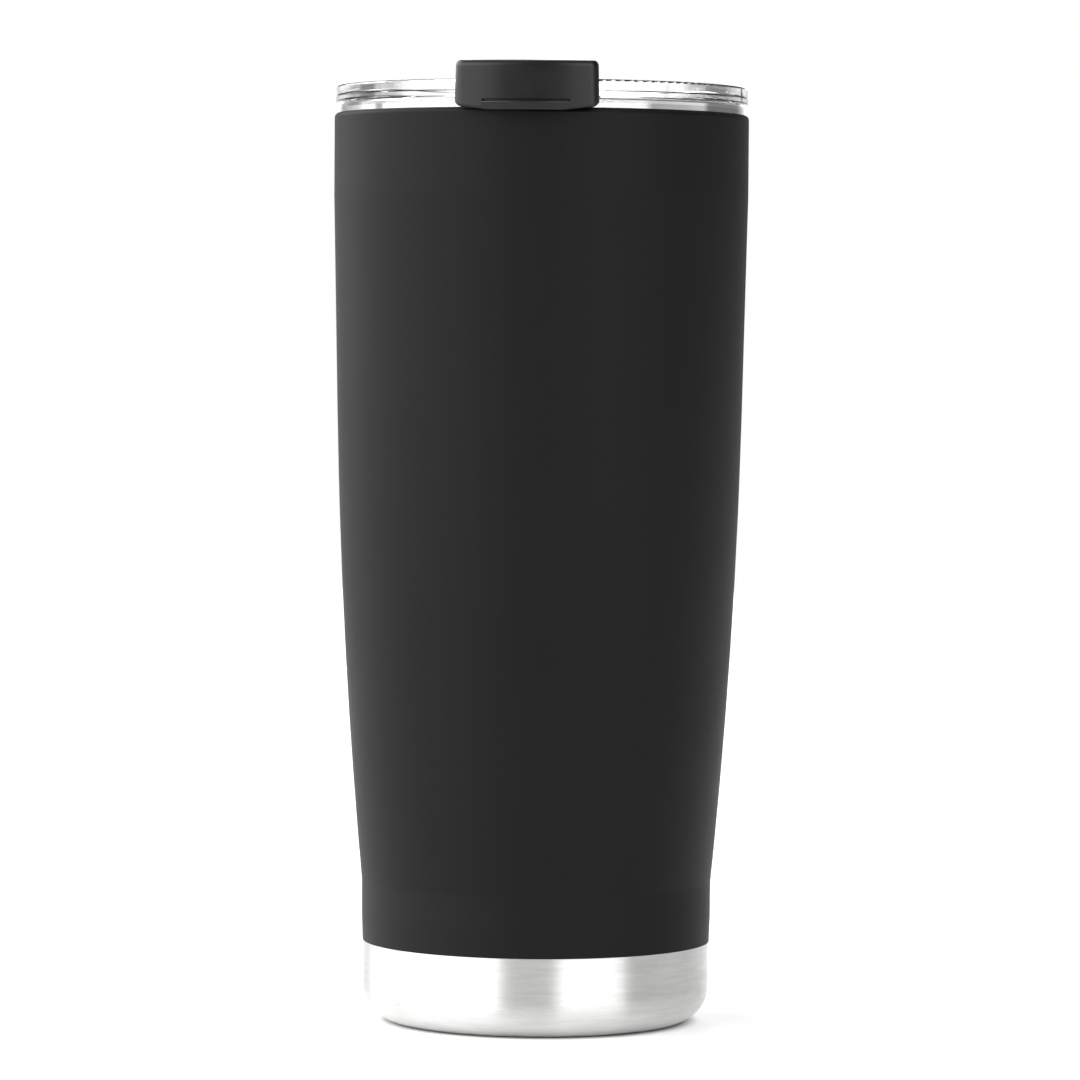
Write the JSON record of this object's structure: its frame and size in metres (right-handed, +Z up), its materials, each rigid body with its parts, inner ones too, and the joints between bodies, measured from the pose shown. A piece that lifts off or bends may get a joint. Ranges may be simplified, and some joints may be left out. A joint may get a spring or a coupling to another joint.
{
  "type": "insulated travel mug",
  "caption": "Vacuum-insulated steel tumbler with a matt black coat, bare steel foot and lip, press-in clear lid and a black flip cap over the drinking hole.",
  "frame": {"origin": "centre of the mug's foot, on the floor it stands on", "axes": "+Z up along the mug's axis; the drinking hole and the flip cap's free end are at -Y; +X is to the right when the drinking side faces the viewer"},
  "size_m": [0.0862, 0.0895, 0.1985],
  "materials": {
    "brushed_steel": "stainless steel, brushed round the axis",
    "polished_steel": "stainless steel, polished",
    "matt_coat": "matt black soft-touch coat, very fine grain",
    "foil": "bright foil",
    "solder": "dull solder",
    "getter_metal": "grey sintered metal",
    "clear_plastic": "clear glossy copolyester",
    "silicone": "dark grey silicone, satin",
    "black_plastic": "black satin polypropylene"
  },
  "bodies": {
    "mug": {"outer_shell": "brushed_steel", "grip_coat": "matt_coat", "liner_wall": "brushed_steel", "liner_bottom": "brushed_steel", "rim_weld": "polished_steel", "radiation_foil": "foil", "base_plate": "brushed_steel", "seal_bead": "solder", "base_disc": "polished_steel", "getter": "getter_metal", "getter_clip": "brushed_steel"},
    "lid": {"lid_body": "clear_plastic", "lid_gasket": "silicone", "hinge_pin": "polished_steel"},
    "cap": {"flip_cap": "black_plastic", "spout_seal": "silicone", "air_pad": "silicone"}
  },
  "joints": [
    {"name": "lid_lift", "type": "slide", "parent": "mug", "child": "lid", "axis": [0, 0, 1], "range_m": [0, 0.04]},
    {"name": "cap_flip", "type": "hinge", "parent": "lid", "child": "cap", "pos_m": [0, -0.007, 0.1956], "axis": [-1, 0, 0], "range_deg": [0, 180]}
  ]
}
